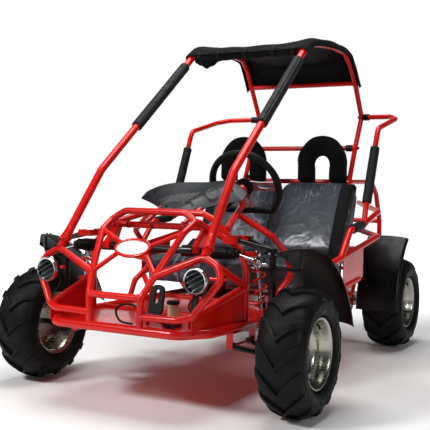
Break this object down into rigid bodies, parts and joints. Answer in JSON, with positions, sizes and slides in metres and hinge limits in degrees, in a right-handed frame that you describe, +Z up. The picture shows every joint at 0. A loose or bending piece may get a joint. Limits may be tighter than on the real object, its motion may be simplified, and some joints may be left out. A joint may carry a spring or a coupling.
{
  "type": "off road go kart",
  "caption": "Side-by-side off-road go-kart: red tube frame with roll cage, double-wishbone front, swing-arm rear, knobby tyres, bench seat and canopy.",
  "frame": {"origin": "on the ground plane under the middle of the kart's bounding box", "axes": "+X the kart's left (right in the picture), -Y the nose, +Z up"},
  "size_m": [1.159, 1.9027, 1.3183],
  "materials": {
    "red_paint": "gloss red paint over welded steel tube",
    "black_paint": "satin black paint",
    "black_plastic": "moulded black plastic, fine grain",
    "grey_plastic": "moulded charcoal plastic, satin",
    "black_foam": "soft black foam and rubber",
    "black_cloth": "woven black canopy cloth",
    "grey_vinyl": "dark grey seat vinyl, sewn channels",
    "tyre_rubber": "black tyre rubber",
    "polished": "polished bright metal",
    "steel": "machined steel",
    "engine_grey": "cast engine grey"
  },
  "bodies": {
    "chassis": {"floor_frame": "red_paint", "nose_frame": "red_paint", "roll_cage": "red_paint", "rear_frame": "red_paint", "side_frame_left": "red_paint", "side_frame_right": "red_paint", "dash_cowl": "grey_plastic", "master_cylinder": "black_plastic", "rack_housing": "black_paint", "headlight_left": "polished", "headlight_right": "polished", "pillar_pad_left": "black_foam", "pillar_pad_right": "black_foam", "side_pad_left": "black_foam", "side_pad_right": "black_foam", "canopy": "black_cloth", "seat_base": "grey_vinyl", "seat_back": "grey_vinyl", "headrest_left": "black_foam", "headrest_right": "black_foam", "rack_boot_left": "black_foam", "rack_boot_right": "black_foam", "rear_fender_left": "black_plastic", "rear_fender_right": "black_plastic"},
    "steering_wheel": {"steering_wheel": "black_plastic"},
    "rack_bar": {"rack_bar": "steel"},
    "lower_arm_left": {"lower_arm_left": "black_paint"},
    "upper_arm_left": {"upper_arm_left": "black_paint"},
    "ball_joint_left": {"ball_joint_left": "steel"},
    "knuckle_left": {"knuckle_left": "black_paint", "front_fender_left": "black_plastic"},
    "front_wheel_left": {"front_rim_left": "polished", "front_tyre_left": "tyre_rubber"},
    "tie_rod_left": {"tie_rod_left": "polished"},
    "shock_body_left": {"shock_body_left": "polished", "shock_spring_left": "red_paint"},
    "shock_rod_left": {"shock_rod_left": "polished"},
    "lower_arm_right": {"lower_arm_right": "black_paint"},
    "upper_arm_right": {"upper_arm_right": "black_paint"},
    "ball_joint_right": {"ball_joint_right": "steel"},
    "knuckle_right": {"knuckle_right": "black_paint", "front_fender_right": "black_plastic"},
    "front_wheel_right": {"front_rim_right": "polished", "front_tyre_right": "tyre_rubber"},
    "tie_rod_right": {"tie_rod_right": "polished"},
    "shock_body_right": {"shock_body_right": "polished", "shock_spring_right": "red_paint"},
    "shock_rod_right": {"shock_rod_right": "polished"},
    "swing_arm": {"swing_arm": "red_paint", "engine": "engine_grey"},
    "rear_wheels": {"rear_axle": "steel", "rear_rim_left": "polished", "rear_rim_right": "polished", "rear_tyre_left": "tyre_rubber", "rear_tyre_right": "tyre_rubber"},
    "rear_shock_body": {"rear_shock_body": "polished", "rear_shock_spring": "red_paint"},
    "rear_shock_rod": {"rear_shock_rod": "polished"},
    "brake_pedal": {"brake_pedal": "black_plastic"},
    "gas_pedal": {"gas_pedal": "black_plastic"}
  },
  "joints": [
    {"name": "steering_turn", "type": "hinge", "parent": "chassis", "child": "steering_wheel", "pos_m": [0.135, -0.315, 0.71], "axis": [0, 0.8851, 0.4654], "range_deg": [-110, 110]},
    {"name": "rack_slide", "type": "slide", "parent": "chassis", "child": "rack_bar", "axis": [1, 0, 0], "range_m": [-0.0235, 0.0235], "deforming": ["rack_boot_left", "rack_boot_right"]},
    {"name": "suspension_left", "type": "hinge", "parent": "chassis", "child": "lower_arm_left", "pos_m": [0.3, -0.66, 0.208], "axis": [0, -1, 0], "range_deg": [-8, 20], "stiffness_Nm_per_rad": 150, "springref_deg": -10.31, "deforming": ["shock_spring_left"]},
    {"name": "upper_arm_pivot_left", "type": "hinge", "parent": "chassis", "child": "upper_arm_left", "pos_m": [0.3, -0.66, 0.536], "axis": [0, -1, 0], "range_deg": [-9, 21]},
    {"name": "lower_ball_left", "type": "hinge", "parent": "lower_arm_left", "child": "ball_joint_left", "pos_m": [0.403, -0.66, 0.18], "axis": [0, -1, 0], "range_deg": [-21, 9]},
    {"name": "kingpin_left", "type": "hinge", "parent": "ball_joint_left", "child": "knuckle_left", "pos_m": [0.403, -0.66, 0.18], "axis": [0, 0, 1], "range_deg": [-21.5, 21.5]},
    {"name": "front_wheel_spin_left", "type": "hinge", "parent": "knuckle_left", "child": "front_wheel_left", "pos_m": [0.5, -0.66, 0.203], "axis": [1, 0, 0], "continuous": true},
    {"name": "tie_rod_pivot_left", "type": "hinge", "parent": "rack_bar", "child": "tie_rod_left", "pos_m": [0.3, -0.722, 0.496], "axis": [0, -1, 0], "range_deg": [-9, 21]},
    {"name": "shock_low_eye_left", "type": "hinge", "parent": "lower_arm_left", "child": "shock_body_left", "pos_m": [0.371, -0.623, 0.207], "axis": [0, -1, 0], "range_deg": [-21, 9]},
    {"name": "shock_high_eye_left", "type": "hinge", "parent": "chassis", "child": "shock_rod_left", "pos_m": [0.33, -0.623, 0.49], "axis": [0, -1, 0], "range_deg": [-1, 1]},
    {"name": "suspension_right", "type": "hinge", "parent": "chassis", "child": "lower_arm_right", "pos_m": [-0.3, -0.66, 0.208], "axis": [0, 1, 0], "range_deg": [-8, 20], "stiffness_Nm_per_rad": 150, "springref_deg": -10.31, "deforming": ["shock_spring_right"]},
    {"name": "upper_arm_pivot_right", "type": "hinge", "parent": "chassis", "child": "upper_arm_right", "pos_m": [-0.3, -0.66, 0.536], "axis": [0, 1, 0], "range_deg": [-9, 21]},
    {"name": "lower_ball_right", "type": "hinge", "parent": "lower_arm_right", "child": "ball_joint_right", "pos_m": [-0.403, -0.66, 0.18], "axis": [0, 1, 0], "range_deg": [-21, 9]},
    {"name": "kingpin_right", "type": "hinge", "parent": "ball_joint_right", "child": "knuckle_right", "pos_m": [-0.403, -0.66, 0.18], "axis": [0, 0, 1], "range_deg": [-21.5, 21.5]},
    {"name": "front_wheel_spin_right", "type": "hinge", "parent": "knuckle_right", "child": "front_wheel_right", "pos_m": [-0.5, -0.66, 0.203], "axis": [1, 0, 0], "continuous": true},
    {"name": "tie_rod_pivot_right", "type": "hinge", "parent": "rack_bar", "child": "tie_rod_right", "pos_m": [-0.3, -0.722, 0.496], "axis": [0, 1, 0], "range_deg": [-9, 21]},
    {"name": "shock_low_eye_right", "type": "hinge", "parent": "lower_arm_right", "child": "shock_body_right", "pos_m": [-0.371, -0.623, 0.207], "axis": [0, 1, 0], "range_deg": [-21, 9]},
    {"name": "shock_high_eye_right", "type": "hinge", "parent": "chassis", "child": "shock_rod_right", "pos_m": [-0.33, -0.623, 0.49], "axis": [0, 1, 0], "range_deg": [-1, 1]},
    {"name": "swing_arm_pivot", "type": "hinge", "parent": "chassis", "child": "swing_arm", "pos_m": [0, 0.424, 0.262], "axis": [1, 0, 0], "range_deg": [-6, 7], "stiffness_Nm_per_rad": 1100, "springref_deg": -6.02, "deforming": ["rear_shock_spring"]},
    {"name": "rear_axle_spin", "type": "hinge", "parent": "swing_arm", "child": "rear_wheels", "pos_m": [0, 0.725, 0.203], "axis": [1, 0, 0], "continuous": true},
    {"name": "rear_shock_low_eye", "type": "hinge", "parent": "swing_arm", "child": "rear_shock_body", "pos_m": [0, 0.5, 0.292], "axis": [1, 0, 0], "range_deg": [-8, 7]},
    {"name": "rear_shock_high_eye", "type": "hinge", "parent": "chassis", "child": "rear_shock_rod", "pos_m": [0, 0.478, 0.69], "axis": [1, 0, 0], "range_deg": [-1, 1]},
    {"name": "brake_pedal_press", "type": "hinge", "parent": "chassis", "child": "brake_pedal", "pos_m": [0.072, -0.812, 0.29], "axis": [1, 0, 0], "range_deg": [0, 25], "stiffness_Nm_per_rad": 4, "springref_deg": -14.32},
    {"name": "gas_pedal_press", "type": "hinge", "parent": "chassis", "child": "gas_pedal", "pos_m": [0.226, -0.812, 0.29], "axis": [1, 0, 0], "range_deg": [0, 20], "stiffness_Nm_per_rad": 4, "springref_deg": -14.32}
  ],
  "couplings": [
    {"joint": "rack_slide", "follows": "steering_turn", "m_per_rad": 0.012133},
    {"joint": "upper_arm_pivot_left", "follows": "suspension_left", "ratio": 1},
    {"joint": "lower_ball_left", "follows": "suspension_left", "ratio": -1},
    {"joint": "tie_rod_pivot_left", "follows": "suspension_left", "ratio": 1},
    {"joint": "shock_low_eye_left", "follows": "suspension_left", "ratio": -0.988},
    {"joint": "shock_high_eye_left", "follows": "suspension_left", "ratio": 0.012},
    {"joint": "kingpin_left", "follows": "steering_turn", "ratio": 0.19091},
    {"joint": "upper_arm_pivot_right", "follows": "suspension_right", "ratio": 1},
    {"joint": "lower_ball_right", "follows": "suspension_right", "ratio": -1},
    {"joint": "tie_rod_pivot_right", "follows": "suspension_right", "ratio": 1},
    {"joint": "shock_low_eye_right", "follows": "suspension_right", "ratio": -0.988},
    {"joint": "shock_high_eye_right", "follows": "suspension_right", "ratio": 0.012},
    {"joint": "kingpin_right", "follows": "steering_turn", "ratio": 0.19091},
    {"joint": "rear_shock_low_eye", "follows": "swing_arm_pivot", "ratio": -1.067},
    {"joint": "rear_shock_high_eye", "follows": "swing_arm_pivot", "ratio": -0.067}
  ]
}
